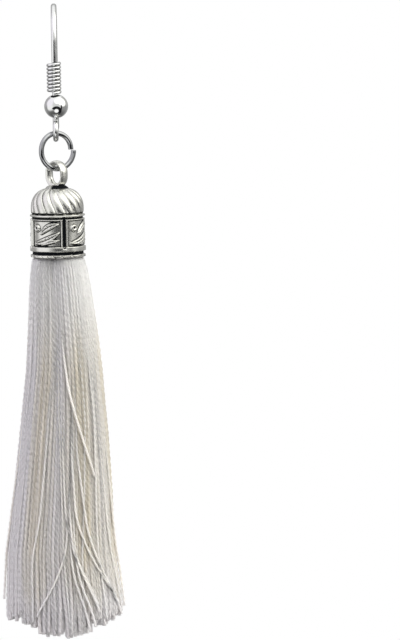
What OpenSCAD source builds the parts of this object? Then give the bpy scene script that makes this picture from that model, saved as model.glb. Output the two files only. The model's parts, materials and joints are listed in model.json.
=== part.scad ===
// Tassel earring: a fish-hook ear wire with a coil and a ball, an open jump ring,
// and a cast cap with a swirled dome and a panelled band that holds a thread tassel.
// The front faces -Y and the ear is at +Y. The origin is the underside of the ear
// wire's arch, at its top, where it hangs in the earlobe. All sizes are millimetres.

/* [Ear wire] */
// Diameter of the ear wire
wire_d = 0.7; // [0.6:0.05:0.8]
// Radius of the arch, to the middle of the wire
arch_r = 4.2; // [3.6:0.1:6]
// Length of the straight shank, from the arch down to the bottom loop
shank_l = 9.7; // [9.2:0.1:14]
// Outer diameter of the bottom loop
hook_loop_d = 2.8; // [2.7:0.05:3.4]
// Straight length of the back leg under the arch
back_leg_l = 5; // [3:0.5:7]
// Angle at which the tail kicks out from the ear
kick_angle = 25; // [10:5:40]
// Radius of the bend above the tail
kick_r = 5; // [3:0.5:8]
// Straight length of the tail
tail_l = 4.5; // [3:0.5:7]

/* [Coil and ball] */
// Diameter of the ball
ball_d = 3; // [2.5:0.1:3.2]
// Room round the ear wire in the ball's hole
ball_play = 0.15; // [0.1:0.05:0.25]
// Diameter of the coil's wire
coil_wire_d = 0.42; // [0.3:0.02:0.5]
// Room round the ear wire inside the coil
coil_play = 0.15; // [0.1:0.05:0.25]
// Number of turns of the coil
coil_turns = 8.25; // [6:0.25:9]

/* [Jump ring] */
// Outer height of the jump ring
ring_d = 5.1; // [4.8:0.1:7]
// Diameter of the jump ring's wire
ring_wire_d = 0.65; // [0.5:0.05:0.7]
// Turn of the jump ring to the right of square-on
ring_yaw = 28; // [20:1:35]
// Twist of each half, which sets the two ends apart sideways
ring_twist = 2; // [1:0.5:3]
// How far the lower end stands outside the upper end
ring_spread = 0.22; // [0.1:0.02:0.3]
// Gap between the two ends
ring_end_gap = 0.12; // [0.08:0.02:0.4]

/* [Cap] */
// Outer width of the cap's loop
cap_loop_w = 3.05; // [2.9:0.05:3.4]
// Thickness of the loop's bar, round its hole
cap_loop_bar = 0.65; // [0.55:0.05:0.7]
// Width of the loop's bar along its hole, whose inner side is a half round
cap_loop_t = 1.15; // [0.9:0.05:1.3]
// Height of the loop's hole
cap_loop_hole_h = 2.2; // [2:0.1:3]
// Turn of the loop to the left of square-on
cap_loop_yaw = 45; // [38:1:52]
// Outer diameter of the dome
dome_d = 6.64; // [6:0.1:7]
// Height of the dome
dome_h = 3.3; // [2.5:0.1:4]
// Number of swirled petals on the dome
petals = 16; // [10:1:20]
// Depth of the grooves between the petals
petal_depth = 0.3; // [0.15:0.05:0.35]
// Swirl of the petals from the top of the dome to its base
swirl = 28; // [0:2:45]
// Outer diameter of the band
band_d = 6.96; // [6.8:0.05:7.6]
// Height of the band
band_h = 5.45; // [4.5:0.1:7]
// Depth of the panels and grooves in the band
relief = 0.3; // [0.15:0.05:0.35]
// Number of panels round the band
panels = 4; // [3:1:6]
// Wall of the cap behind its panels
cap_wall = 0.45; // [0.35:0.05:0.6]

/* [Tassel] */
// Length of thread below the cap, to the lowest tip
tassel_l = 47.1; // [30:1:70]
// Width of the tassel at its hem
hem_d = 14.6; // [11:0.2:18]
// How far the middle of the hem hangs below its sides
hem_drop = 2.1; // [0:0.1:4]
// Number of locks of thread
locks = 13; // [9:1:18]
// Room between the bound head and the inside of the cap
head_gap = 0.08; // [0.05:0.01:0.2]

/* [Hidden] */

// Gap left where one hanging piece bears on the next
hang_gap = 0.05;
// Gap left between turns of the coil
turn_gap = 0.025;
// Share of its play by which the loose ball hangs to the right
ball_lean = 0.75;
// Share of its play by which the loose coil stands to the left
coil_lean = -0.65;
// Overlap of solids that are joined into one
bite = 0.1;

// Front of the earring, as an angle from +X
front = -90;
drop_y = -arch_r;

// Heights of the ear wire
arch_z = wire_d / 2 - arch_r;
hook_loop_r = (hook_loop_d - wire_d) / 2;
hook_loop_z = arch_z - shank_l - hook_loop_d / 2;
kick_z = arch_z - back_leg_l;
// Loop's end, which stops short of the shank
hook_loop_gap_angle = 34;

// Ball and coil, each resting on the piece below it
ball_r = ball_d / 2;
ball_x = ball_lean * ball_play;
ball_z = hook_loop_z + hook_loop_d / 2 + ball_play + ball_r;
ball_bore_d = wire_d + 2 * ball_play;
coil_r = (wire_d + coil_wire_d) / 2 + coil_play;
coil_x = coil_lean * coil_play;
coil_pitch = coil_wire_d + turn_gap;
coil_reach = ball_r + coil_wire_d / 2 + hang_gap;
coil_z = ball_z + sqrt(pow(coil_reach, 2) - pow(coil_r - ball_x + coil_x, 2));
coil_sides = 8;
coil_rings_a_turn = 16;

// Jump ring, hanging in the ear wire's loop: two half rings set apart by the gap
// between their ends at the right, and joined by as short a straight at the left
ring_upper_r = (ring_d - ring_wire_d - ring_end_gap) / 2 - ring_spread / 4;
ring_lower_r = ring_upper_r + ring_spread / 2;
ring_upper_yaw = ring_yaw + ring_twist;
ring_lower_yaw = ring_yaw - ring_twist;
ring_top_z = hook_loop_z - hook_loop_r + (wire_d + ring_wire_d) / 2 + hang_gap;
ring_z = ring_top_z - ring_upper_r - ring_end_gap / 2;
ring_left = [-ring_upper_r * cos(ring_upper_yaw), drop_y - ring_upper_r * sin(ring_upper_yaw)];
ring_bottom = ring_left + ring_lower_r * [cos(ring_lower_yaw), sin(ring_lower_yaw)];
ring_bottom_z = ring_z - ring_end_gap / 2 - ring_lower_r;

// Cap loop, hanging on the jump ring
cap_hole_r = cap_loop_w / 2 - cap_loop_bar;
// Crown of the outer side of the loop's bar
bar_crown_r = 1.3;
cap_loop_side = ring_bottom[0] * cos(cap_loop_yaw) - (ring_bottom[1] - drop_y) * sin(cap_loop_yaw);
cap_hang_r = cap_hole_r - ring_wire_d / 2 - hang_gap;
cap_arch_z = ring_bottom_z - sqrt(pow(cap_hang_r, 2) - pow(cap_loop_side, 2));
cap_foot_z = cap_arch_z - (cap_loop_hole_h - 2 * cap_hole_r);

// Cap, from the dome's top to the rim
loop_sink = 0.15;
dome_top_z = cap_foot_z - cap_hole_r - cap_loop_bar + loop_sink;
band_top_z = dome_top_z - dome_h;
rim_z = band_top_z - band_h;
dome_r = dome_d / 2;
dome_power = 2.7;
dome_rows = 10;
// Crowding of the dome's rows towards its top
dome_crowding = 1.6;
petal_steps = 6;
// Smallest radius of the dome's mesh, under the loop's collar
dome_eye = 0.9;
collar_r = 0.5 * cap_loop_w;
collar_top_r = 0.35 * cap_loop_w;
collar_h = 0.55;
// Radii of the band's ground, of its bore, and of the roots of its raised parts
floor_r = band_d / 2 - relief;
bore_r = floor_r - cap_wall;
root_r = bore_r + cap_wall / 2;
// Coned top of the bore, as shares of the dome's height and of the bore's radius
cone_share = 0.55;
cone_top_share = 0.55;
// Width of a channel between two panels, and of the borders beside it, in degrees
channel_angle = 7;
border_angle = 5;
// Middle of the first channel, to the right of the front
channel_from_front = 15.4;
panel_angle = 360 / panels;

// Band from its top down: the ends of each bead and groove, as shares of its height,
// and how far each stands out, as a share of the relief
BEAD_TOP = 0;
BEAD_FOOT = 1;
BEAD_OUT = 2;
beads = [
    [0, 0.065, 0.85],
    [0.725, 0.86, 1],
    [0.915, 1, 0.85],
];
// Panel field, as shares of the band's height, and the width of its top border
field_top = 0.095;
field_foot = 0.725;
border_h = 0.045;
// How far borders and leaves stand out, as shares of the relief
border_out = 0.8;
leaf_out = 0.9;

// Leaves in a panel: tail and tip across the field and up it, as shares of its
// half width and height, and the leaf's width as a share of the height
TAIL_X = 0;
TAIL_UP = 1;
TIP_X = 2;
TIP_UP = 3;
LEAF_W = 4;
leaves = [
    [-0.35, 0.46, 0.98, 0.9, 0.26],
    [-0.92, 0.12, 0.98, 0.56, 0.27],
    [-0.3, 0.05, 0.98, 0.24, 0.16],
];
// Round bud beside the leaves: across, up and radius, as shares of the height
bud_x = -0.36;
bud_up = 0.72;
bud_r = 0.17;

// Bound head, and the cone at its top as shares of the dome's height and of its radius
head_r = bore_r - head_gap;
head_cone_share = 0.4;
head_top_share = 0.5;
hem_r = hem_d / 2;
// Rows down the locks: depth as a share of the tassel's length, then the radius and the
// lean to the right as shares of the hem's radius, and the grooves between locks as a
// share of the row's radius
DEPTH = 0;
RADIUS = 1;
LEAN = 2;
GROOVE = 3;
lock_rows = [
    [0.008, 0.395, 0, 0.02],
    [0.035, 0.475, 0.005, 0.05],
    [0.09, 0.53, 0.02, 0.07],
    [0.19, 0.59, 0.045, 0.09],
    [0.3, 0.65, 0.06, 0.11],
    [0.46, 0.755, 0.04, 0.14],
    [0.62, 0.85, 0, 0.17],
    [0.78, 0.935, -0.045, 0.2],
    [0.9, 1, -0.015, 0.23],
];
// Rows round the tips and in under the hem: radius as a share of the hem's, shortfall
// as a share of hem_drop, and notches between the tips as a share of notch_h
HEM_R = 0;
SHORT = 1;
NOTCH = 2;
hem_rows = [
    [0.97, 1.3, 1],
    [0.9, 0.9, 0.8],
    [0.72, 0.55, 0.6],
    [0.45, 0.2, 0.3],
    [0.12, 0, 0],
];
notch_h = 1.3;
lock_steps = 8;
// Uneven lengths of the locks, as shares of hem_drop, used in turn
unevenness = [0.1, 0.35, -0.15, 0.25, 0, -0.05];

module ear_hook() {
    color("silver")
    union() {
        // Bottom loop in the plane of the hook, its end stopping short of the shank
        translate([0, drop_y, hook_loop_z])
        hook_bend(hook_loop_r, 90, 360 - hook_loop_gap_angle);
        // Shank
        translate([0, drop_y, hook_loop_z + hook_loop_r])
        cylinder(d = wire_d, h = arch_z - hook_loop_z - hook_loop_r, $fn = 32);
        // Rounded corner where the shank turns into the loop
        translate([0, drop_y, hook_loop_z + hook_loop_r])
        sphere(d = wire_d, $fn = 32);
        // Arch over the ear
        translate([0, 0, arch_z])
        hook_bend(arch_r, 0, 180);
        // Back leg
        translate([0, arch_r, kick_z])
        cylinder(d = wire_d, h = back_leg_l, $fn = 32);
        // Bend that kicks the tail away from the ear
        translate([0, arch_r + kick_r, kick_z])
        hook_bend(kick_r, 180, kick_angle);
        // Tail with a rounded tip
        translate([0, arch_r + kick_r, kick_z])
        rotate([kick_angle, 0, 0])
        translate([0, -kick_r, -tail_l]) {
            cylinder(d = wire_d, h = tail_l, $fn = 32);
            sphere(d = wire_d, $fn = 32);
        }
    }
}

// Wire bent round the X axis, from an angle measured from +Y towards +Z
module hook_bend(radius, from, turn) {
    rotate([0, 90, 0])
    rotate([0, 0, 90 + from])
    rotate_extrude(angle = turn, $fn = 64)
    translate([radius, 0])
    circle(d = wire_d, $fn = 32);
}

module hook_coil() {
    steps = ceil(coil_turns * coil_rings_a_turn);
    lift = coil_pitch * coil_turns;
    slope = atan2(coil_pitch, 360 * coil_r * PI / 180);
    points = [
        for (i = [0 : steps])
        let (a = front + 360 * coil_turns * i / steps, z = lift * i / steps)
        for (j = [0 : coil_sides - 1])
        let (b = 360 * j / coil_sides, out = coil_wire_d / 2 * cos(b), up = coil_wire_d / 2 * sin(b))
        [
            (coil_r + out) * cos(a) + up * sin(slope) * sin(a),
            (coil_r + out) * sin(a) - up * sin(slope) * cos(a),
            z + up * cos(slope),
        ]
    ];
    color("gainsboro")
    translate([coil_x, drop_y, coil_z])
    polyhedron(points = points, faces = tube_faces(steps, coil_sides), convexity = 10);
}

// Faces of a tube of rings of points, with a flat face at each end
function tube_faces(steps, sides) = concat(
    [
        for (i = [0 : steps - 1], j = [0 : sides - 1])
        let (k = (j + 1) % sides)
        each [
            [i * sides + j, i * sides + k, (i + 1) * sides + k],
            [i * sides + j, (i + 1) * sides + k, (i + 1) * sides + j],
        ]
    ],
    [[for (j = [sides - 1 : -1 : 0]) j]],
    [[for (j = [0 : sides - 1]) steps * sides + j]]
);

module hook_ball() {
    color("silver")
    difference() {
        translate([ball_x, drop_y, ball_z])
        sphere(d = ball_d, $fn = 64);
        translate([ball_x, drop_y, ball_z - ball_d])
        cylinder(d = ball_bore_d, h = 2 * ball_d, $fn = 32);
    }
}

module jump_ring() {
    color("gray")
    translate([ring_left[0], ring_left[1], ring_z])
    union() {
        cylinder(d = ring_wire_d, h = ring_end_gap, center = true, $fn = 32);
        ring_half(ring_upper_r, ring_upper_yaw, 1);
        ring_half(ring_lower_r, ring_lower_yaw, -1);
    }
}

// Half of the jump ring, over or under the straight at its left
module ring_half(radius, yaw, side) {
    rotate([0, 0, yaw])
    translate([radius, 0, side * ring_end_gap / 2])
    rotate([90, 0, 0])
    rotate([0, 0, side > 0 ? 0 : 180])
    rotate_extrude(angle = 180, $fn = 64)
    translate([radius, 0])
    circle(d = ring_wire_d, $fn = 32);
}

module tassel_cap() {
    color("darkgray")
    translate([0, drop_y, 0])
    difference() {
        union() {
            cap_loop();
            collar();
            dome();
            band();
        }
        cap_bore();
    }
}

// Bar of the loop in section: half round on its inner side, so that it turns freely
// on the jump ring, and crowned on its outer side
module bar_section() {
    intersection() {
        translate([cap_hole_r + cap_loop_t / 2, 0])
        circle(d = cap_loop_t, $fn = 32);
        translate([cap_hole_r + cap_loop_bar - bar_crown_r, 0])
        circle(r = bar_crown_r, $fn = 64);
    }
}

// Long loop on edge, open towards the front left
module cap_loop() {
    rotate([0, 0, -cap_loop_yaw]) {
        translate([0, 0, cap_arch_z])
        rotate([90, 0, 0])
        rotate_extrude(angle = 180, $fn = 64)
        bar_section();
        translate([0, 0, cap_foot_z])
        rotate([90, 0, 0])
        rotate([0, 0, 180])
        rotate_extrude(angle = 180, $fn = 64)
        bar_section();
        for (side = [0, 180])
        translate([0, 0, cap_foot_z])
        rotate([0, 0, side])
        linear_extrude(cap_arch_z - cap_foot_z)
        bar_section();
    }
}

// Collar where the loop grows out of the dome
module collar() {
    translate([0, 0, dome_top_z - collar_h / 2])
    cylinder(r1 = collar_r, r2 = collar_top_r, h = collar_h, $fn = 64);
}

// Radius of the dome at a share of its height, from its top
function dome_radius(share) = dome_r * pow(1 - pow(1 - share, dome_power), 1 / dome_power);

// Height share of each row of the dome, closer together near its top
function dome_share(row) = pow(row / dome_rows, dome_crowding);

// Fullness of a petal across its width, from 0 in a groove to 1 on its crest
function fullness(step) = sqrt(1 - pow(2 * step / petal_steps - 1, 2));

// Dome of swirled petals, rounded in at its foot and sunk a little into the band
module dome() {
    sides = petals * petal_steps;
    foot = 1 - petal_depth / dome_h;
    rows = concat(
        [[0, dome_eye, 0]],
        [
            for (i = [1 : dome_rows])
            let (s = dome_share(i), r = dome_radius(s))
            [s * foot, r, petal_depth * r / dome_r]
        ],
        [[(1 + foot) / 2, dome_r - petal_depth / 3, petal_depth / 2]],
        [[1, dome_r - petal_depth, 0]],
        [[1 + bite / dome_h, dome_r - petal_depth, 0]]
    );
    points = [
        for (row = rows, j = [0 : sides - 1])
        let (
            a = front + 360 * j / sides + swirl * (row[0] - 1),
            r = row[1] - row[2] * (1 - fullness(j % petal_steps))
        )
        [r * cos(a), r * sin(a), -row[0] * dome_h]
    ];
    translate([0, 0, dome_top_z])
    polyhedron(points = points, faces = tube_faces(len(rows) - 1, sides), convexity = 6);
}

// Band with its beads, grooves and panels
module band() {
    translate([0, 0, rim_z])
    cylinder(r = floor_r, h = band_h, $fn = 96);
    for (bead = beads)
    band_ring(bead[BEAD_TOP], bead[BEAD_FOOT], bead[BEAD_OUT]);
    for (i = [0 : panels - 1])
    rotate([0, 0, front + channel_from_front + panel_angle * (i + 0.5)]) {
        panel_borders();
        panel_leaves();
    }
}

// Raised ring of the band with rounded edges
module band_ring(top, foot, out) {
    h = (foot - top) * band_h;
    r = floor_r + out * relief;
    chamfer = min(h, relief) / 3;
    translate([0, 0, band_top_z - foot * band_h])
    rotate_extrude($fn = 96)
    polygon([
        [root_r, 0],
        [r - chamfer, 0],
        [r, chamfer],
        [r, h - chamfer],
        [r - chamfer, h],
        [root_r, h],
    ]);
}

// Border ridges over a panel and at its two sides
module panel_borders() {
    half = panel_angle / 2 - channel_angle / 2;
    r = floor_r + border_out * relief;
    top_z = band_top_z - field_top * band_h;
    foot_z = band_top_z - field_foot * band_h;
    sector(-half, half, r, top_z - border_h * band_h, top_z);
    for (from = [-half, half - border_angle])
    sector(from, from + border_angle, r, foot_z - bite, top_z);
}

// Raised part of a ring, between two angles and two heights
module sector(from, to, radius, low, high) {
    rotate([0, 0, from])
    translate([0, 0, low])
    rotate_extrude(angle = to - from, $fn = 96)
    translate([root_r, 0])
    square([radius - root_r, high - low]);
}

// Spray of leaves and a bud, raised in the field of one panel
module panel_leaves() {
    field_h = (field_foot - field_top - border_h) * band_h;
    half_w = floor_r * sin(panel_angle / 2 - channel_angle / 2 - border_angle);
    intersection() {
        translate([0, 0, rim_z])
        cylinder(r = floor_r + leaf_out * relief, h = band_h, $fn = 96);
        translate([0, 0, band_top_z - field_foot * band_h])
        rotate([90, 0, 90])
        translate([0, 0, root_r])
        linear_extrude(band_d / 2) {
            for (leaf = leaves)
            leaf_outline(
                [leaf[TAIL_X] * half_w, leaf[TAIL_UP] * field_h],
                [leaf[TIP_X] * half_w, leaf[TIP_UP] * field_h],
                leaf[LEAF_W] * field_h
            );
            translate([bud_x * field_h, bud_up * field_h])
            circle(r = bud_r * field_h, $fn = 32);
        }
    }
}

// Pointed leaf between two points: what two equal circles share
module leaf_outline(tail, tip, width) {
    along = tip - tail;
    length = norm(along);
    r = (pow(length, 2) + pow(width, 2)) / (4 * width);
    translate((tail + tip) / 2)
    rotate([0, 0, atan2(along[1], along[0])])
    intersection() {
        translate([0, r - width / 2])
        circle(r = r, $fn = 96);
        translate([0, width / 2 - r])
        circle(r = r, $fn = 96);
    }
}

// Hollow of the cap, open at the rim and coned in under the dome
module cap_bore() {
    translate([0, 0, rim_z - bite])
    cylinder(r = bore_r, h = band_h + bite, $fn = 64);
    translate([0, 0, band_top_z])
    cylinder(r1 = bore_r, r2 = cone_top_share * bore_r, h = cone_share * dome_h, $fn = 64);
}

// Bound head inside the cap, and the locks that spread from it to the hem
module tassel() {
    sides = locks * lock_steps;
    last = lock_rows[len(lock_rows) - 1];
    // Each row: height from the rim, radius, lean, groove, notch, and share of unevenness
    rows = concat(
        [
            [band_h + head_cone_share * dome_h, head_top_share * head_r, 0, 0, 0, 0],
            [band_h - bite, head_r, 0, 0, 0, 0],
            [0, head_r, 0, 0, 0, 0],
        ],
        [
            for (row = lock_rows)
            [-row[DEPTH] * tassel_l, row[RADIUS] * hem_r, row[LEAN] * hem_r, row[GROOVE], 0, 0]
        ],
        [
            for (row = hem_rows)
            let (inward = row[HEM_R] / hem_rows[0][HEM_R])
            [
                row[SHORT] * hem_drop - tassel_l,
                row[HEM_R] * hem_r,
                last[LEAN] * hem_r,
                last[GROOVE] * inward,
                row[NOTCH] * notch_h,
                row[NOTCH] * hem_drop,
            ]
        ]
    );
    points = [
        for (row = rows, j = [0 : sides - 1])
        let (
            a = front + 360 * (j + 0.5 * lock_steps) / sides,
            groove = 1 - sqrt(1 - pow(2 * (j % lock_steps) / lock_steps - 1, 2)),
            uneven = unevenness[floor(j / lock_steps) % len(unevenness)] * (1 - groove),
            r = row[1] * (1 - row[3] * groove),
            z = row[0] + row[4] * groove - row[5] * uneven
        )
        [row[2] + r * cos(a), r * sin(a), z]
    ];
    color("ivory")
    translate([0, drop_y, rim_z])
    polyhedron(points = points, faces = tube_faces(len(rows) - 1, sides), convexity = 10);
}

ear_hook();
hook_coil();
hook_ball();
jump_ring();
tassel_cap();
tassel();
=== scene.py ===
"""Tassel earring: a fish-hook ear wire with its coil and ball, an open jump ring, an
antiqued cast cap and a tassel of twisted white thread, on a plain pale stage."""

import json
import math

import bmesh
import bpy
import numpy as np
from bpy.props import FloatProperty, FloatVectorProperty, IntProperty, PointerProperty
from mathutils import Matrix, Vector


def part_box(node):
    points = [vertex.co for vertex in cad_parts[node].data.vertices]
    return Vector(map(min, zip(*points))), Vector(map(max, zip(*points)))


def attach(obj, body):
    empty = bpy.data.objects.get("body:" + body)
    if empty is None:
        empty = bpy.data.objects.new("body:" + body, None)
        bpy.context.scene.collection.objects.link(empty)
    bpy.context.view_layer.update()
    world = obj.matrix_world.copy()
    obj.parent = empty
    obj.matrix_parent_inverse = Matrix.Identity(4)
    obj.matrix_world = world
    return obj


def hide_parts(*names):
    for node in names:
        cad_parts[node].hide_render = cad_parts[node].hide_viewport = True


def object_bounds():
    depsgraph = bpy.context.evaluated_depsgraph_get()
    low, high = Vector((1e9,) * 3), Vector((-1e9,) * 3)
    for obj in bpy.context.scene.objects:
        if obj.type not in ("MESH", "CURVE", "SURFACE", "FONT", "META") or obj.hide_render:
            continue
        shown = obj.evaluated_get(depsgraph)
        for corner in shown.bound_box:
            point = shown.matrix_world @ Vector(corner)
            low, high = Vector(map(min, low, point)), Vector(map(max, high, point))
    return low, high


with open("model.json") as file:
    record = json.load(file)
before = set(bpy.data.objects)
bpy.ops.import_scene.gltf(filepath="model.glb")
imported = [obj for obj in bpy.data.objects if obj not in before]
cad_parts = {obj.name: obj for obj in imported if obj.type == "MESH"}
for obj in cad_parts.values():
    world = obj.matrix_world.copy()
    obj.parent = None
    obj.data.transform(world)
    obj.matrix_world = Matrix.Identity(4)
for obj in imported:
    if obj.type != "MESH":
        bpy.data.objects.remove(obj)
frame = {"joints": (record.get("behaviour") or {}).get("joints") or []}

CAD_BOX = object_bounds()

bl_info = {
    "name": "Tassel earring",
    "version": (1, 0, 0),
    "blender": (4, 5, 0),
    "location": "View3D > Sidebar > Earring",
    "description": "Builds a fish-hook earring with a cast cap and a thread tassel",
    "category": "Add Mesh",
}

FULL_TURN = 2 * math.pi
FRONT = -math.pi / 2
UP = Vector((0, 0, 1))


# Places taken from the frame

def joint_place(name):
    """Point that a joint of the frame turns about"""
    found = [j for j in frame["joints"] if j["name"] == name]
    if not found:
        raise RuntimeError(f"the frame has no joint named {name}")
    return Vector(found[0]["pos_m"])


# Where the ear wire holds the ring, where the ring holds the cap, and the drop's middle
HOOK_LINK = joint_place("ring_swing")
CAP_LINK = joint_place("drop_sway")
DROP_Y = HOOK_LINK.y


def low(node):
    """Lowest corner of a node's box"""
    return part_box(node)[0]


# Sizes and colours that a user may change

def length(name, description, default):
    return FloatProperty(
        name=name, description=description, default=default, min=0, precision=6,
        unit="LENGTH", subtype="DISTANCE",
    )


def turn(name, description, degrees):
    return FloatProperty(
        name=name, description=description, default=math.radians(degrees),
        unit="ROTATION", subtype="ANGLE",
    )


def count(name, description, default):
    return IntProperty(name=name, description=description, default=default, min=1)


def colour(name, description, default):
    return FloatVectorProperty(
        name=name, description=description, default=default, size=3, min=0, max=1,
        subtype="COLOR",
    )


class EarWireSizes(bpy.types.PropertyGroup):
    """Sizes of the ear wire, its coil and its ball"""

    wire_d: length("Wire", "Diameter of the ear wire", 0.0007)
    loop_d: length("Bottom loop", "Outer diameter of the bottom loop", 0.0028)
    loop_end: turn("Loop end", "Angle of the loop's end above its back", 56)
    corner_r: length("Corner", "Radius of the corner where the shank meets the loop", 0.0004)
    leg_l: length("Back leg", "Straight length of the back leg", 0.005)
    kick_r: length("Kick radius", "Radius of the bend above the tail", 0.005)
    kick: turn("Kick", "Angle at which the tail kicks out", 25)
    tail_l: length("Tail", "Straight length of the tail", 0.0045)
    coil_wire_d: length("Coil wire", "Diameter of the coil's wire", 0.00042)
    coil_turns: FloatProperty(name="Coil turns", description="Turns of the coil", default=8.25)
    bore_d: length("Ball bore", "Diameter of the hole through the ball", 0.001)


class RingSizes(bpy.types.PropertyGroup):
    """Sizes of the open jump ring"""

    wire_d: length("Wire", "Diameter of the ring's wire", 0.00065)
    upper_r: length("Upper radius", "Radius of the ring's upper half", 0.00211)
    lower_r: length("Lower radius", "Radius of the ring's lower half", 0.00222)
    gap: length("Gap", "Gap between the two ends", 0.00012)
    upper_yaw: turn("Upper yaw", "Turn of the upper half to the right", 30)
    lower_yaw: turn("Lower yaw", "Turn of the lower half to the right", 26)


class CapSizes(bpy.types.PropertyGroup):
    """Sizes of the cast cap"""

    loop_w: length("Loop", "Outer width of the loop", 0.00305)
    bar: length("Bar", "Thickness of the loop's bar round its hole", 0.00065)
    bar_w: length("Bar width", "Width of the loop's bar along its hole", 0.00115)
    hole_h: length("Hole", "Height of the loop's hole", 0.0022)
    loop_yaw: turn("Loop yaw", "Turn of the loop to the left", 45)
    dome_r: length("Dome radius", "Radius of the dome", 0.00332)
    dome_h: length("Dome height", "Height of the dome", 0.0033)
    petals: count("Petals", "Number of swirled petals on the dome", 16)
    petal_depth: length("Petal depth", "Depth of the grooves between petals", 0.0003)
    swirl: turn("Swirl", "Swirl of the petals from top to base", 28)
    band_h: length("Band height", "Height of the band", 0.00545)
    ground_r: length("Ground radius", "Radius of the band's ground", 0.00318)
    relief: length("Relief", "How far the band's relief stands out", 0.0003)
    bore_r: length("Bore radius", "Radius of the cap's hollow", 0.00273)
    panels: count("Panels", "Number of panels round the band", 4)
    first_channel: turn("First channel", "Middle of the first channel from the front", 15.4)


class TasselSizes(bpy.types.PropertyGroup):
    """Sizes of the tassel and its thread"""

    thread_l: length("Length", "Length of thread below the cap", 0.0471)
    hem_r: length("Hem radius", "Radius of the tassel at its hem", 0.0073)
    hem_drop: length("Hem drop", "How far the middle of the hem hangs below its sides", 0.0021)
    ply_r: length("Ply radius", "Radius of one of a thread's two plies", 0.000125)
    pitch: length("Pitch", "Length of one full twist of the thread", 0.0017)
    shell: count("Shell threads", "Threads in the outer shell", 124)
    under: count("Second threads", "Threads in the second layer", 104)
    seed: count("Seed", "Seed of the threads' small differences", 7)


class Finishes(bpy.types.PropertyGroup):
    """Colours of the metals and the thread"""

    bright: colour("Bright plating", "Colour of the ear wire and ball", (0.9, 0.91, 0.9))
    ring: colour("Ring plating", "Colour of the jump ring", (0.46, 0.47, 0.48))
    cast: colour("Casting", "Colour of the cap's high spots", (0.84, 0.84, 0.79))
    patina: colour("Patina", "Colour of the cap's blackened recesses", (0.012, 0.014, 0.017))
    thread: colour("Thread", "Main colour of the thread", (0.625, 0.587, 0.537))
    thread_cool: colour("Cool thread", "Colour of the cooler threads", (0.612, 0.588, 0.6))
    thread_warm: colour("Warm thread", "Colour of the warmer threads", (0.61, 0.545, 0.44))


# Making pieces

# Points closer than this, in metres, are one
MERGE = 1e-7
WIRE_SIDES = 24


def edges_of(verts):
    """Edges that end at any of the points"""
    return list({e for v in verts for e in v.link_edges})


def centre_of(edges):
    """Middle of the points of some edges"""
    points = {v.co.copy().freeze() for e in edges for v in e.verts}
    return sum(points, Vector()) / len(points)


def placed(origin, x_axis, z_axis):
    """Matrix of a place, from its point, its X axis and its Z axis"""
    x, z = Vector(x_axis).normalized(), Vector(z_axis).normalized()
    y = z.cross(x)
    return Matrix.Translation(origin) @ Matrix((x, y, z)).transposed().to_4x4()


def wire_round(bm, radius, sides, place):
    """Open round of wire, square to the place's Z axis"""
    made = bmesh.ops.create_circle(
        bm, cap_ends=False, segments=sides, radius=radius, matrix=place
    )
    return edges_of(made["verts"])


def bend(bm, edges, centre, axis, angle, steps, rise=0.0):
    """Sweeps an open section round an axis, rising along it if asked"""
    made = bmesh.ops.spin(
        bm, geom=edges, cent=centre, axis=axis, dvec=Vector(axis).normalized() * rise / steps,
        angle=angle, steps=steps, use_merge=False, use_duplicate=False,
    )
    return [g for g in made["geom_last"] if isinstance(g, bmesh.types.BMEdge)]


def draw_out(bm, edges, move, shrink=1.0):
    """Sweeps an open section along a straight, made smaller by a share if asked"""
    made = bmesh.ops.extrude_edge_only(bm, edges=edges)["geom"]
    verts = [g for g in made if isinstance(g, bmesh.types.BMVert)]
    ends = [g for g in made if isinstance(g, bmesh.types.BMEdge) and g.is_boundary]
    bmesh.ops.translate(bm, verts=verts, vec=move)
    if shrink != 1.0:
        bmesh.ops.scale(
            bm, verts=verts, vec=(shrink,) * 3, space=Matrix.Translation(-centre_of(ends))
        )
    return ends


def close_end(bm, edges, way, radius, reach, steps=5):
    """Closes a round end with an edge rounded over a reach, at most the radius"""
    way = Vector(way).normalized()
    out, size = 0.0, radius
    for i in range(1, steps + 1):
        a = 0.5 * math.pi * i / (steps + 0.5)
        next_out = reach * math.sin(a)
        next_size = radius - reach * (1 - math.cos(a))
        edges = draw_out(bm, edges, way * (next_out - out), next_size / size)
        out, size = next_out, next_size
    bmesh.ops.contextual_create(bm, geom=edges)


def points_of(bm):
    """Places of a bmesh's points, a row for each"""
    return np.array([v.co for v in bm.verts])


def mesh_from(name, bm):
    """Mesh made from a bmesh, which is freed"""
    mesh = bpy.data.meshes.new(name)
    bm.to_mesh(mesh)
    bm.free()
    return mesh


def finished(name, bm, body, nodes, material):
    """Smooth piece made from a bmesh"""
    bmesh.ops.remove_doubles(bm, verts=bm.verts, dist=MERGE)
    bmesh.ops.recalc_face_normals(bm, faces=bm.faces)
    for face in bm.faces:
        face.smooth = True
    return dressed(name, mesh_from(name, bm), body, nodes, material)


def dressed(name, mesh, body, nodes, material):
    """Piece that rides on a body and stands for the nodes named"""
    mesh.materials.append(material)
    piece = bpy.data.objects.new(name, mesh)
    bpy.context.scene.collection.objects.link(piece)
    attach(piece, body)
    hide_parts(*nodes)
    return piece


# Materials

def put(tree, kind, inputs=(), **options):
    """Adds a node, sets its options, and fills or links its inputs"""
    node = tree.nodes.new(kind)
    for name, value in options.items():
        setattr(node, name, value)
    for name, value in dict(inputs).items():
        if isinstance(value, bpy.types.NodeSocket):
            tree.links.new(value, node.inputs[name])
        else:
            node.inputs[name].default_value = value
    return node


def mixed(tree, factor, first, second, blend="MIX"):
    """Mix of two colours"""
    node = put(
        tree, "ShaderNodeMix", {0: factor, 6: first, 7: second},
        data_type="RGBA", blend_type=blend, clamp_factor=True,
    )
    return node.outputs[2]


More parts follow.
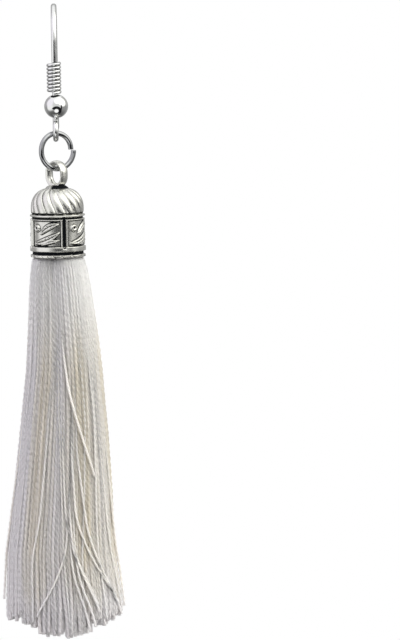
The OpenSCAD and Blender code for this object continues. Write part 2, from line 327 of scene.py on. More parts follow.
def calc(tree, operation, first, second=0.0, clamp=False):
    """Result of a sum on one or two values"""
    node = put(tree, "ShaderNodeMath", {0: first, 1: second}, operation=operation, use_clamp=clamp)
    return node.outputs[0]


def ramped(tree, value, low_in, high_in, low_out=0.0, high_out=1.0):
    """Value carried smoothly from one range to another"""
    inputs = {0: value, 1: low_in, 2: high_in, 3: low_out, 4: high_out}
    return put(tree, "ShaderNodeMapRange", inputs, interpolation_type="SMOOTHSTEP").outputs[0]


def noise(tree, vector, scale, detail=3.0, roughness=0.5):
    """Soft random pattern, from 0 to 1"""
    inputs = {"Vector": vector, "Scale": scale, "Detail": detail, "Roughness": roughness}
    return put(tree, "ShaderNodeTexNoise", inputs).outputs["Fac"]


def group(name, inputs, outputs):
    """Empty shader node group, with its input and output nodes"""
    tree = bpy.data.node_groups.new(name, "ShaderNodeTree")
    for socket, kind in inputs:
        tree.interface.new_socket(socket, in_out="INPUT", socket_type=f"NodeSocket{kind}")
    for socket, kind in outputs:
        tree.interface.new_socket(socket, in_out="OUTPUT", socket_type=f"NodeSocket{kind}")
    return tree, put(tree, "NodeGroupInput").outputs, put(tree, "NodeGroupOutput").inputs


def worn_plating():
    """Plating that is dulled in soft patches, stained in its recesses and finely scuffed; on the
    coil the darkening in its recesses is painted shade
    """
    tree, given, result = group(
        "worn_plating",
        (("Bright", "Color"), ("Stain And Shade", "Color"), ("Recess", "Float"), ("Patch Scale", "Float"),
         ("Polish", "Float"), ("Dulling", "Float")),
        (("Colour", "Color"), ("Roughness", "Float"), ("Height", "Float")),
    )
    place = put(tree, "ShaderNodeTexCoord").outputs["Object"]
    patches = noise(tree, place, given["Patch Scale"], 4.0, 0.6)
    scuffs = noise(tree, place, calc(tree, "MULTIPLY", given["Patch Scale"], 9.0), 2.0, 0.7)
    dull = ramped(tree, patches, 0.4, 0.75)
    # Staining lies in the recesses, with a ragged edge; on the coil it is painted shade between
    # the turns
    ragged = calc(tree, "ADD", given["Recess"], calc(tree, "MULTIPLY", scuffs, 0.3))
    stain_and_shade = ramped(tree, ragged, 0.62, 1.02)
    tone = mixed(tree, calc(tree, "MULTIPLY", dull, given["Dulling"]), given["Bright"],
                 given["Stain And Shade"])
    rough = calc(tree, "ADD", given["Polish"], calc(tree, "MULTIPLY", dull, given["Dulling"]))
    rough = calc(tree, "ADD", rough, calc(tree, "MULTIPLY", stain_and_shade, 0.45), clamp=True)
    tone = mixed(tree, stain_and_shade, tone, given["Stain And Shade"])
    for value, name in ((tone, "Colour"), (rough, "Roughness"), (scuffs, "Height")):
        tree.links.new(value, result[name])
    return tree


def fibre_lustre():
    """Silky filaments: a tone that runs in streaks along the thread, a painted highlight that
    whitens the threads under the cap, painted shade between the plies, and their height"""
    tree, given, result = group(
        "fibre_lustre",
        (("First", "Color"), ("Second", "Color"), ("Third", "Color"), ("Sheen White", "Color"),
         ("Shade", "Float"), ("Painted Sheen", "Float"), ("Crevice", "Float"), ("Ply Shade", "Float"),
         ("Streak Scale", "Float")),
        (("Colour", "Color"), ("Height", "Float")),
    )
    place = put(tree, "ShaderNodeTexCoord").outputs["Object"]
    drawn = put(tree, "ShaderNodeMapping", {"Vector": place, "Scale": (1.0, 1.0, 0.09)})
    streaks = noise(tree, drawn.outputs[0], given["Streak Scale"], 3.0, 0.65)
    warm = ramped(tree, given["Shade"], 0.62, 0.95)
    cool = ramped(tree, given["Shade"], 0.38, 0.05)
    tone = mixed(tree, warm, given["First"], given["Third"])
    tone = mixed(tree, cool, tone, given["Second"])
    # Painted highlight: whiter near the cap
    tone = mixed(tree, given["Painted Sheen"], tone, given["Sheen White"])
    tone = mixed(tree, ramped(tree, streaks, 0.3, 0.7, 0.06, 0.0), tone, (0.42, 0.4, 0.38, 1))
    # Painted shade between the plies
    tone = mixed(tree, calc(tree, "MULTIPLY", given["Crevice"], given["Ply Shade"]), tone,
                 (0.3, 0.28, 0.26, 1))
    tree.links.new(tone, result["Colour"])
    tree.links.new(streaks, result["Height"])
    return tree


def shared(maker):
    """Node group built once and placed in each material that uses it"""
    return bpy.data.node_groups.get(maker.__name__) or maker()


def new_material(name):
    """Material with an empty node tree, and that tree"""
    material = bpy.data.materials.new(name)
    material.use_nodes = True
    tree = material.node_tree
    tree.nodes.clear()
    return material, tree


def plated(name, bright, stain_and_shade, patch_scale, polish, dulling, bump, recess=None):
    """Plated metal: polish is its least roughness, dulling how far its patches are dulled and
    stained, bump the strength of its scuffs, and recess the attribute for how deep it lies"""
    material, tree = new_material(name)
    deep = 0.0
    if recess:
        deep = put(tree, "ShaderNodeAttribute", attribute_name=recess).outputs["Fac"]
    wear = put(tree, "ShaderNodeGroup", {
        "Bright": (*bright, 1), "Stain And Shade": (*stain_and_shade, 1), "Recess": deep,
        "Patch Scale": patch_scale, "Polish": polish, "Dulling": dulling,
    }, node_tree=shared(worn_plating)).outputs
    relief = put(tree, "ShaderNodeBump",
                 {"Strength": bump, "Distance": 0.00002, "Height": wear["Height"]})
    skin = put(tree, "ShaderNodeBsdfPrincipled", {
        "Base Color": wear["Colour"], "Metallic": 1.0, "Roughness": wear["Roughness"],
        "Normal": relief.outputs[0],
    })
    put(tree, "ShaderNodeOutputMaterial", {"Surface": skin.outputs[0]})
    return material


def spun_thread(name, finishes, gain, groove, roughness):
    """Twisted rayon thread, each thread a little warmer or cooler than the next; gain lightens
    it as painted light, and groove darkens it between its plies as painted shade"""
    material, tree = new_material(name)
    inputs = {"Streak Scale": 9000.0, "Ply Shade": groove, "Sheen White": (0.98, 0.955, 0.92, 1)}
    for socket, tone in (
        ("First", finishes.thread), ("Second", finishes.thread_cool),
        ("Third", finishes.thread_warm),
    ):
        inputs[socket] = (*(min(gain * c, 1.0) for c in tone), 1)
    for socket, attribute in (("Shade", "shade"), ("Painted Sheen", "painted_sheen"), ("Crevice", "crevice")):
        found = put(tree, "ShaderNodeAttribute", attribute_name=attribute)
        inputs[socket] = found.outputs["Fac"]
    lustre = put(tree, "ShaderNodeGroup", inputs, node_tree=shared(fibre_lustre))
    relief = put(tree, "ShaderNodeBump", {
        "Strength": 0.5, "Distance": 0.00003, "Height": lustre.outputs["Height"],
    })
    skin = put(tree, "ShaderNodeBsdfPrincipled", {
        "Base Color": lustre.outputs["Colour"], "Roughness": roughness, "Sheen Weight": 0.25,
        "Sheen Roughness": 0.4, "Specular IOR Level": 0.45, "Subsurface Weight": 0.9,
        "Subsurface Radius": (1.0, 0.99, 0.96), "Subsurface Scale": 0.001,
        "Normal": relief.outputs[0],
    })
    put(tree, "ShaderNodeOutputMaterial", {"Surface": skin.outputs[0]})
    return material


# Ear wire

def bent_ear_wire(s):
    """Fish-hook wire, swept from the end of its bottom loop to the tip of its tail"""
    bm = bmesh.new()
    r = s.wire_d / 2
    arch_r = -DROP_Y
    loop_r = s.loop_d / 2 - r
    # The loop's bottom carries the jump ring, whose top is at the first joint
    loop = Vector((0, DROP_Y, low("ear_hook").z + s.loop_d / 2))
    arch = Vector((0, 0, r - arch_r))
    reach = loop_r + s.corner_r
    meet = math.acos(-s.corner_r / reach)
    corner_z = math.sqrt(reach**2 - s.corner_r**2)
    start = loop + loop_r * Vector((0, math.cos(s.loop_end), math.sin(s.loop_end)))
    tangent = Vector((0, math.sin(s.loop_end), -math.cos(s.loop_end)))
    first = wire_round(bm, r, WIRE_SIDES, placed(start, (1, 0, 0), tangent))
    edges = bend(bm, first, loop, (1, 0, 0), meet - s.loop_end - FULL_TURN, steps=56)
    corner = loop + Vector((0, -s.corner_r, corner_z))
    edges = bend(bm, edges, corner, (1, 0, 0), meet, steps=14)
    edges = draw_out(bm, edges, UP * (arch.z - corner.z))
    edges = bend(bm, edges, arch, (1, 0, 0), -math.pi, steps=64)
    edges = draw_out(bm, edges, -UP * s.leg_l)
    kick_centre = Vector((0, arch_r + s.kick_r, arch.z - s.leg_l))
    edges = bend(bm, edges, kick_centre, (1, 0, 0), s.kick, steps=14)
    tail = Vector((0, math.sin(s.kick), -math.cos(s.kick)))
    edges = draw_out(bm, edges, tail * s.tail_l)
    close_end(bm, edges, tail, r, 0.95 * r)
    close_end(bm, first, -tangent, r, 0.3 * r, steps=3)
    return bm


def wound_coil(s):
    """Close-wound coil, right-handed, that starts at the front"""
    bm = bmesh.new()
    r = s.coil_wire_d / 2
    lo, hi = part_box("hook_coil")
    middle = (lo + hi) / 2
    coil_r = (hi.x - lo.x) / 2 - r
    lift = hi.z - lo.z - s.coil_wire_d
    base = Vector((middle.x, middle.y, lo.z + r))
    angle = FULL_TURN * s.coil_turns
    tangent = Vector((1, 0, lift / (angle * coil_r)))
    start = base + Vector((0, -coil_r, 0))
    sides, steps_a_turn = 14, 28
    first = wire_round(bm, r, sides, placed(start, (0, 1, 0), tangent))
    edges = bend(bm, first, base, UP, angle, round(steps_a_turn * s.coil_turns), lift)
    out = Matrix.Rotation(angle, 3, "Z") @ tangent
    close_end(bm, edges, out, r, 0.35 * r, steps=3)
    close_end(bm, first, -tangent, r, 0.35 * r, steps=3)
    # Painted shade between the turns: the deeper a point lies between them, the darker it is
    # painted
    layer = bm.verts.layers.float.new("recess")
    for v in bm.verts:
        v[layer] = float(step_up(0.8, 0.25, ((v.co - middle).xy.length - coil_r) / r))
    return bm


def spun_profile(bm, points, middle, steps):
    """Closed or open line of (radius, height) points, spun right round the vertical"""
    verts = [bm.verts.new((middle.x + r, middle.y, middle.z + z)) for r, z in points]
    edges = [bm.edges.new(pair) for pair in zip(verts, verts[1:])]
    bmesh.ops.spin(
        bm, geom=verts + edges, cent=middle, axis=UP, dvec=(0, 0, 0), angle=FULL_TURN,
        steps=steps, use_merge=True, use_duplicate=False,
    )


def drilled_ball(s):
    """Ball with a hole for the ear wire, its rim a little rounded"""
    bm = bmesh.new()
    lo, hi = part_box("hook_ball")
    middle = (lo + hi) / 2
    ball_r = (hi.x - lo.x) / 2
    bore_r = s.bore_d / 2
    rim_w, rim_h = 0.00004, 0.00003
    edge = math.asin((bore_r + rim_w) / ball_r)
    rows = 48
    arc = [
        (ball_r * math.sin(a), -ball_r * math.cos(a))
        for a in (edge + (math.pi - 2 * edge) * i / rows for i in range(rows + 1))
    ]
    foot_z = arc[0][1]
    inner = [(bore_r, -foot_z - rim_h), (bore_r, foot_z + rim_h)]
    spun_profile(bm, [*arc, *inner, arc[0]], middle, steps=64)
    return bm


class EARRING_OT_ear_wire(bpy.types.Operator):
    """Makes the ear wire, its coil and its ball"""

    bl_idname = "earring.ear_wire"
    bl_label = "Ear wire, coil and ball"

    def execute(self, context):
        s, f = context.scene.ear_wire_sizes, context.scene.earring_finishes
        wire = plated("bright_plated_wire", f.bright, (0.2, 0.2, 0.2), 900, 0.17, 0.1, 0.12)
        # The coil's near-black colour between its turns is painted shade
        coil = plated("coil_painted_groove_shade", f.bright, (0.06, 0.06, 0.06), 900, 0.09, 0.08, 0.1, "recess")
        ball = plated("mirror_ball", f.bright, (0.25, 0.25, 0.25), 600, 0.035, 0.05, 0.05)
        finished("bent_ear_wire", bent_ear_wire(s), "ear_wire", ["ear_hook"], wire)
        finished("wound_coil", wound_coil(s), "ear_wire", ["hook_coil"], coil)
        finished("drilled_ball", drilled_ball(s), "ear_wire", ["hook_ball"], ball)
        return {"FINISHED"}


# Jump ring

def open_ring(s):
    """Ring of two half turns joined at the left, its cut ends a little apart at the right"""
    bm = bmesh.new()
    r = s.wire_d / 2
    upper = Vector((math.cos(s.upper_yaw), math.sin(s.upper_yaw), 0))
    lower = Vector((math.cos(s.lower_yaw), math.sin(s.lower_yaw), 0))
    upper_centre = HOOK_LINK - UP * s.upper_r
    left = upper_centre - upper * s.upper_r
    lower_centre = left + lower * s.lower_r - UP * s.gap
    start = upper_centre + upper * s.upper_r
    first = wire_round(bm, r, WIRE_SIDES, placed(start, upper, UP))
    edges = bend(bm, first, upper_centre, upper.cross(UP), math.pi, steps=48)
    edges = draw_out(bm, edges, -UP * s.gap)
    edges = bend(bm, edges, lower_centre, lower.cross(UP), math.pi, steps=48)
    close_end(bm, edges, UP, r, 0.12 * s.gap, steps=2)
    close_end(bm, first, -UP, r, 0.12 * s.gap, steps=2)
    return bm


class EARRING_OT_jump_ring(bpy.types.Operator):
    """Makes the open jump ring that links the ear wire to the cap"""

    bl_idname = "earring.jump_ring"
    bl_label = "Jump ring"

    def execute(self, context):
        s, f = context.scene.ring_sizes, context.scene.earring_finishes
        metal = plated("grey_plated_wire", f.ring, (0.12, 0.12, 0.12), 800, 0.08, 0.12, 0.15)
        finished("open_jump_ring", open_ring(s), "ring", ["jump_ring"], metal)
        return {"FINISHED"}


# Cap

# Radius of the crown on the loop's outer side
CROWN_R = 0.0013
# Collar under the loop: radius, and height over the dome's top
COLLAR = (
    (0, 0.00027), (0.0009, 0.00027), (0.00107, 0.0002), (0.00125, 0.0001), (0.0014, -0.00004),
)
COLLAR_R = COLLAR[-1][0]
# Squareness of the dome's outline: 2 is round
DOME_POWER = 2.7
# Blackening of the cap's hollow, and of what isn't cast to a pattern
HOLLOW_BLACK, PLAIN_BLACK = 0.85, 0.6


def cast_loop(s):
    """Long loop on edge: its bar is half round inside and crowned outside"""
    bm = bmesh.new()
    half_w = s.bar_w / 2
    across = Vector((math.cos(-s.loop_yaw), math.sin(-s.loop_yaw), 0))
    hole_r = s.loop_w / 2 - s.bar
    arch = CAP_LINK - UP * (hole_r + half_w)
    straight = UP * (s.hole_h - 2 * hole_r)
    start = arch + across * (hole_r + half_w)
    first = wire_round(bm, half_w, sides=32, place=Matrix())
    # The outer side of the section is flattened to a low crown
    for v in {v for e in first for v in e.verts}:
        crown = s.bar - half_w - CROWN_R + math.sqrt(CROWN_R**2 - v.co.y**2)
        v.co.x = min(v.co.x, crown)
    bmesh.ops.transform(bm, matrix=placed(start, across, UP), verts=bm.verts)
    axis = across.cross(UP)
    edges = bend(bm, first, arch, axis, math.pi, steps=40)
    edges = draw_out(bm, edges, -straight)
    edges = bend(bm, edges, arch - straight, axis, math.pi, steps=40)
    draw_out(bm, edges, straight)
    return bm


def step_up(low_edge, high_edge, x):
    """0 below the first edge, 1 above the second, and smooth between them"""
    t = np.clip((x - low_edge) / (high_edge - low_edge), 0, 1)
    return t * t * (3 - 2 * t)


def bead(x, top, foot, edge):
    """Raised bead between two shares, with edges rounded over a share"""
    return step_up(top, top + edge, x) * (1 - step_up(foot - edge, foot, x))


# Beads of the band: top, foot and how far they stand out, as shares
BEADS = ((0.0, 0.065, 0.85), (0.725, 0.86, 1.0), (0.915, 1.0, 0.85))
FIELD_TOP, FIELD_FOOT, BORDER_H = 0.095, 0.725, 0.045
CHANNEL, BORDER = math.radians(7), math.radians(5)
# Leaves of a panel: tail and tip across and up, width, and curve, as shares
LEAVES = (
    (-0.35, 0.46, 0.98, 0.9, 0.26, 0.1),
    (-0.92, 0.12, 0.98, 0.56, 0.27, -0.08),
    (-0.3, 0.05, 0.98, 0.24, 0.16, 0.05),
)
# Bud of a panel: place across and up, and radius, as shares
BUD = (-0.36, 0.72, 0.17)
# How far the panel's frame and its leaves stand out, as shares of the relief
FRAME_OUT, LEAF_OUT = 0.8, 0.9


def leaf_height(x, y, tail, tip, width, curve):
    """Height of a veined leaf at a point of the panel, from 0 outside to about 1"""
    along = np.subtract(tip, tail)
    size = math.hypot(*along)
    ux, uy = along / size
    u = (x - tail[0]) * ux + (y - tail[1]) * uy
    v = (y - tail[1]) * ux - (x - tail[0]) * uy
    t = np.clip(u / size, 0, 1)
    v = v - curve * size * 4 * t * (1 - t)
    half = 0.5 * width * np.power(4 * t * (1 - t) + 1e-9, 0.75)
    inside = (half - np.abs(v)) / width
    body = step_up(0.0, 0.16, inside)
    vein = np.exp(-np.square(v / (0.07 * width))) * step_up(0.02, 0.2, t)
    side = 0.5 + 0.5 * np.cos(FULL_TURN * (u - 0.9 * np.abs(v)) / (0.55 * width))
    return body * (1 - 0.45 * vein - 0.16 * side * step_up(0.08, 0.3, inside))


def from_channel(s, theta):
    """Angle to the nearest channel's middle"""
    panel = FULL_TURN / s.panels
    return np.mod(theta - FRONT - s.first_channel + panel / 2, panel) - panel / 2


def in_channel(off_channel):
    """1 in a channel and 0 outside it"""
    return 1 - step_up(CHANNEL / 2 - 0.02, CHANNEL / 2 + 0.01, np.abs(off_channel))


def band_height(s, fall, theta):
    """How far the band stands out of its ground, in shares of the relief"""
    x = np.zeros_like(fall)
    panel = FULL_TURN / s.panels
    off_channel = from_channel(s, theta)
    in_panel = off_channel - np.sign(off_channel) * panel / 2
    edge = 0.02
    for top, foot, out in BEADS:
        x = np.maximum(x, out * bead(fall, top, foot, edge))
    side = bead(np.abs(off_channel), CHANNEL / 2, CHANNEL / 2 + BORDER, math.radians(1.6))
    x = np.maximum(x, FRAME_OUT * side * bead(fall, FIELD_TOP, FIELD_FOOT + 0.01, edge))
    in_field = step_up(CHANNEL / 2, CHANNEL / 2 + 0.02, np.abs(off_channel))
    top = bead(fall, FIELD_TOP, FIELD_TOP + BORDER_H, edge)
    x = np.maximum(x, FRAME_OUT * top * in_field)
    # Leaves and a bud, seen straight on from the middle of their panel
    half_w = s.ground_r * math.sin(panel / 2 - CHANNEL / 2 - BORDER)
    field_h = (FIELD_FOOT - FIELD_TOP - BORDER_H) * s.band_h
    over = s.ground_r * np.sin(in_panel)
    up = (FIELD_FOOT - fall) * s.band_h
    for tail_x, tail_y, tip_x, tip_y, width, curve in LEAVES:
        leaf = leaf_height(
            over, up, (tail_x * half_w, tail_y * field_h), (tip_x * half_w, tip_y * field_h),
            width * field_h, curve,
        )
        x = np.maximum(x, LEAF_OUT * leaf)
    far = np.hypot(over - BUD[0] * field_h, up - BUD[1] * field_h) / (BUD[2] * field_h)
    bud = step_up(1.0, 0.55, far) * (1 - 0.5 * step_up(0.45, 0.1, far))
    x = np.maximum(x, LEAF_OUT * bud)
    # The channel cuts a little way into the beads over and under it
    x = x * (1 - 0.75 * in_channel(off_channel) * bead(fall, 0.045, 0.79, 0.03))
    # Small notches round the lip
    notch = np.cos(20 * theta + 2.2 * np.sin(3 * theta) - 45 * fall)
    return x * (1 - 0.75 * step_up(0.86, 0.98, notch) * step_up(0.92, 0.94, fall))


def cap_outward(s, top_z, z, theta):
    """How far the cast surface stands out of the plain profile, in metres"""
    fall = (top_z - z) / s.band_h
    band = s.relief * band_height(s, np.clip(fall, 0, 1), theta)
    down = 1 - np.clip((z - top_z) / s.dome_h, 0, 1)
    t = np.mod((theta - FRONT - s.swirl * (down - 1)) * s.petals / FULL_TURN, 1)
    fullness = np.sqrt(np.clip(1 - np.square(2 * t - 1), 0, 1))
    wide = np.power(np.clip(1 - np.power(1 - down, DOME_POWER), 0, 1), 1 / DOME_POWER)
    petal = -s.petal_depth * wide * (1 - fullness) * step_up(0.0, 0.02, 1 - down)
    return np.where(fall > 0, band, petal)


def recess_of(s, top_z, z, theta, radius):
    """How far each point lies below what surrounds it, from 0 on a crest to 1 in a groove"""
    here = cap_outward(s, top_z, z, theta)
    around = np.zeros_like(here)
    turns = 8
    reaches = (0.00009, 0.0002)
    for reach in reaches:
        for i in range(turns):
            a = FULL_TURN * i / turns
            dz, dt = reach * math.cos(a), reach * math.sin(a) / np.maximum(radius, 0.001)
            around += cap_outward(s, top_z, z + dz, theta + dt)
    around /= turns * len(reaches)
    # Level ground counts as 0.3
    recess = 0.3 + (around - here) / (0.3 * s.relief)
    # Painted highlight: the dome's right, where the light falls, is given less of the dark patina
    recess -= 0.45 * (z > top_z) * step_up(0.1, 0.8, np.cos(theta - FRONT - 0.8))
    # Blackest in the grooves over and under the panels, in the channels and under the dome
    fall = (top_z - z) / s.band_h
    groove = bead(fall, 0.06, 0.1, 0.012) + bead(fall, 0.855, 0.92, 0.012)
    groove += in_channel(from_channel(s, theta)) * (fall > 0.05)
    groove *= (fall > 0) & (fall < 0.93)
    groove *= 1 - step_up(0.1, 0.35, here / s.relief)
    groove += bead(fall, -0.045, 0.0, 0.012)
    return np.clip(np.maximum(recess, groove), 0, 1)


def cap_profile(s, rim_z, band_top):
    """Plain profile of the cap, from the pole inside its collar to the top of its hollow"""
    dome_top = band_top + s.dome_h
    squeeze = 1 - s.petal_depth / s.dome_h
    line = [(r, dome_top + over) for r, over in COLLAR]
    rows = 46
    for i in range(rows + 1):
        a = 0.5 * math.pi * i / rows
        r = s.dome_r * math.sin(a) ** (2 / DOME_POWER)
        if r > COLLAR_R + 0.00005:
            fall = 1 - math.cos(a) ** (2 / DOME_POWER)
            line.append((r, dome_top - s.dome_h * squeeze * fall))
    foot_r = s.dome_r - s.petal_depth
    rows = 4
    for i in range(1, rows + 1):
        a = 0.5 * math.pi * i / rows
        line.append((foot_r + s.petal_depth * math.cos(a),
                     band_top + s.petal_depth * (1 - math.sin(a))))
    rows = 122
    line += [(s.ground_r, band_top - s.band_h * i / rows) for i in range(rows + 1)]
    # Foot of the lip, then up the bore to the flat top of the hollow
    chamfer, hollow, lead = 0.0002, 0.55, 0.001
    line += [(s.ground_r - chamfer, rim_z), (s.bore_r, rim_z), (s.bore_r, rim_z + lead)]
    line += [(s.bore_r, band_top), (hollow * s.bore_r, band_top + hollow * s.dome_h)]
    return [*line, (0, band_top + hollow * s.dome_h)]


def cast_cap(s):
    """Cap of swirled petals and a panelled band, spun from its profile and then chased"""
    rim_z = low("tassel_cap").z
    band_top = rim_z + s.band_h
    bm = bmesh.new()
    spun_profile(bm, cap_profile(s, rim_z, band_top), Vector((0, DROP_Y, 0)), steps=400)
    bmesh.ops.remove_doubles(bm, verts=bm.verts, dist=MERGE)
    bm.verts.index_update()
    points = points_of(bm)
    x, y, z = points[:, 0], points[:, 1] - DROP_Y, points[:, 2]
    radius, theta = np.hypot(x, y), np.arctan2(y, x)
    dome = (z > band_top + 1e-6) & (radius > COLLAR_R)
    bore = (radius < s.bore_r + 1e-6) & (z < band_top + 0.6 * s.dome_h)
    cast = (dome | (radius > s.ground_r - 1e-6) & (z < band_top + 1e-6)) & ~bore
    out = np.where(cast, cap_outward(s, band_top, z, theta), 0)
    recess = np.where(cast, recess_of(s, band_top, z, theta, radius), PLAIN_BLACK)
    # Crevice round the foot of the loop
    crevice = step_up(COLLAR_R + 0.0004, COLLAR_R, radius) * (z > band_top + 0.5 * s.dome_h)
    crevice *= 0.55 + 0.45 * step_up(0.2, 0.75, np.cos(theta + 1.0))
    recess = np.where(bore, HOLLOW_BLACK, np.maximum(recess, crevice))
    for v, grow in zip(bm.verts, 1 + out / np.maximum(radius, 1e-6)):
        v.co.x *= grow
        v.co.y = DROP_Y + (v.co.y - DROP_Y) * grow
    layer = bm.verts.layers.float.new("recess")
    for v, value in zip(bm.verts, recess):
        v[layer] = value
    return bm


class EARRING_OT_cap(bpy.types.Operator):
    """Makes the cast cap with its loop, swirled dome and panelled band"""

    bl_idname = "earring.cap"
    bl_label = "Cap"

    def execute(self, context):
        s, f = context.scene.cap_sizes, context.scene.earring_finishes
        metal = plated("antiqued_casting", f.cast, f.patina, 700, 0.23, 0.12, 0.5, "recess")
        for name, bm in (("cast_cap", cast_cap(s)), ("cast_loop", cast_loop(s))):
            finished(name, bm, "drop", ["tassel_cap"], metal)
        return {"FINISHED"}


# Tassel

# Shape down the tassel: depth, radius and lean to the right, as shares
BUNDLE = (
    (-0.1, 0.33, 0.0), (-0.012, 0.335, 0.0), (0.002, 0.45, 0.0), (0.035, 0.49, 0.005),
    (0.09, 0.535, 0.02), (0.19, 0.59, 0.045), (0.3, 0.65, 0.06), (0.46, 0.755, 0.04),
    (0.62, 0.85, 0.0), (0.78, 0.935, -0.045), (0.92, 1.0, -0.015), (1.1, 1.0, -0.01),
)
# Length of thread inside the cap, and depth down to which a painted highlight whitens the threads
NECK = 0.003
PAINTED_SHEEN_L = 0.016
# Where the bundle parts in front, how much of its radius it loses there, and how sharply
PARTING, PARTING_DEPTH, PARTING_SHARP = FRONT - 0.27, 0.26, 11
# Two plies side by side, in ply radii: the waist between them, how far they stand out of it
# at either end, and how sharply
WAIST, LOBE, LOBE_SHARP = 1.3, 0.57, 1.5
# Waves of a thread: their sizes sideways, and in and out, in metres
SIDE_WAVES, OUT_WAVE = (0.00006, 0.00004), 0.00006
# Clumps round the hem, how unevenly they and their threads are cut, and how far a thread
# leans over to its clump, as a share
CLUMPS, CLUMP_CUT, THREAD_CUT, GATHER = 26, 0.0003, 0.00022, 0.36
# Thickness of a thread as a share: under the cap, how much more lower down, and how much more
# where it lies over its neighbours
THIN, FULLER, OVER_FULLER = 0.66, 0.5, 0.22
# How deep a thread's middle lies below the bundle's skin, and how far it stands out of its
# neighbours where it lies over them, in metres
SUNK, OVER_OUT = 0.0002, 0.00008
# Hanks of thread round the tassel, and the angle that they are turned by
HANKS, HANKS_TURN = 6, 0.09
# Loose threads over the front: how far each stands out, in metres, and the line it takes,
# as depths and places across, from where it leaves the bundle to its tip
LOOSE = (
    (0.0004, (0.2, -0.03), (0.33, 0.09), (0.45, 0.35), (0.575, 0.65)),
    (0.0002, (0.5, -0.02), (0.68, 0.07), (0.8, 0.3), (0.92, 0.62)),
    (0.0003, (0.5, 0.17), (0.69, 0.27), (0.8, 0.57), (0.92, 0.96)),
    (0.0003, (0.5, 0.29), (0.72, 0.48), (0.83, 0.72), (0.95, 0.985)),
    (0.0003, (0.72, 0.16), (0.84, 0.2), (0.91, 0.33), (0.985, 0.45)),
    (0.0004, (0.7, 0.22), (0.85, 0.29), (0.91, 0.42), (0.975, 0.54)),
    (0.0004, (0.66, 0.14), (0.77, 0.21), (0.85, 0.4), (0.935, 0.61)),
    (0.0002, (0.6, 0.13), (0.78, 0.09), (0.87, -0.18), (0.945, -0.5)),
    (0.0002, (0.4, -0.36), (0.68, -0.42), (0.8, -0.53), (0.96, -0.53)),
    (0.0002, (0.5, 0.8), (0.7, 0.86), (0.82, 0.93), (0.94, 0.985)),
    (0.0001, (0.1, -0.2), (0.4, -0.12), (0.7, 0.02), (0.985, 0.1)),
    (0.0003, (0.5, -0.97), (0.746, -0.985), (0.825, -1.005), (0.908, -1.02)),
    (0.0003, (0.5, 0.93), (0.711, 0.965), (0.825, 1.01), (0.932, 1.015)),
    (0.0001, (0.1, 0.4), (0.4, 0.5), (0.7, 0.42), (0.96, 0.33)),
    (0.0002, (0.1, 0.62), (0.4, 0.7), (0.7, 0.66), (0.955, 0.72)),
)


def strand(s, sides, steps_a_turn, full_l):
    """Straight two-ply thread of unit depth, with the twist of its full length: a figure of
    eight, twisted as it is drawn"""
    bm = bmesh.new()
    made = bmesh.ops.create_circle(bm, cap_ends=False, segments=sides, radius=1)
    for v in made["verts"]:
        a = math.atan2(v.co.y, v.co.x)
        v.co *= s.ply_r * (WAIST + LOBE * abs(math.cos(a)) ** LOBE_SHARP)
    turns = full_l / s.pitch
    steps = max(1, round(turns * steps_a_turn))
    first = edges_of(made["verts"])
    return capped(bm, first, bend(bm, first, (0, 0, 0), -UP, -FULL_TURN * turns, steps, 1.0))


def plain_strand(s):
    """Straight round thread of unit depth, for the hidden middle of the tassel"""
    bm = bmesh.new()
    plies, steps = 1.6, 24
    first = wire_round(bm, plies * s.ply_r, sides=6, place=Matrix())
    edges = first
    for _ in range(steps):
        edges = draw_out(bm, edges, -UP / steps)
    return capped(bm, first, edges)


def capped(bm, *ends):
    """Strand with both its ends closed"""
    for end in ends:
        bmesh.ops.contextual_create(bm, geom=end)
    bmesh.ops.recalc_face_normals(bm, faces=bm.faces)
    return bm


def smooth_line(at, places, values, width=6):
    """Line through points of rising place, with its corners rounded"""
    fine = np.linspace(-0.1, 1.1, 481)
    bell = np.exp(-0.5 * np.square(np.linspace(-2.5, 2.5, 2 * width + 1)))
    line = np.pad(np.interp(fine, places, values), width, mode="edge")
    return np.interp(at, fine, np.convolve(line, bell / bell.sum(), "valid"))


def bundle_shape(s, depth):
    """Radius and lean of the bundle at a depth below the rim"""
    depths, radii, leans = zip(*BUNDLE)
    down = depth / s.thread_l
    return (smooth_line(down, depths, radii) * s.hem_r, smooth_line(down, depths, leans) * s.hem_r)


def parted(angle, down):
    """Share of its radius that the bundle keeps where it parts into two bulges under the cap"""
    dip = np.exp(PARTING_SHARP * (np.cos(angle - PARTING) - 1))
    return 1 - PARTING_DEPTH * dip * step_up(0.5, 0.05, down)


def rolled(straight, angle, thick):
    """Places across a straight thread of its points, rolled by an angle and thickened"""
    x, y = straight[:, 0], straight[:, 1]
    return ((x * np.cos(angle) - y * np.sin(angle)) * thick,
            (x * np.sin(angle) + y * np.cos(angle)) * thick)


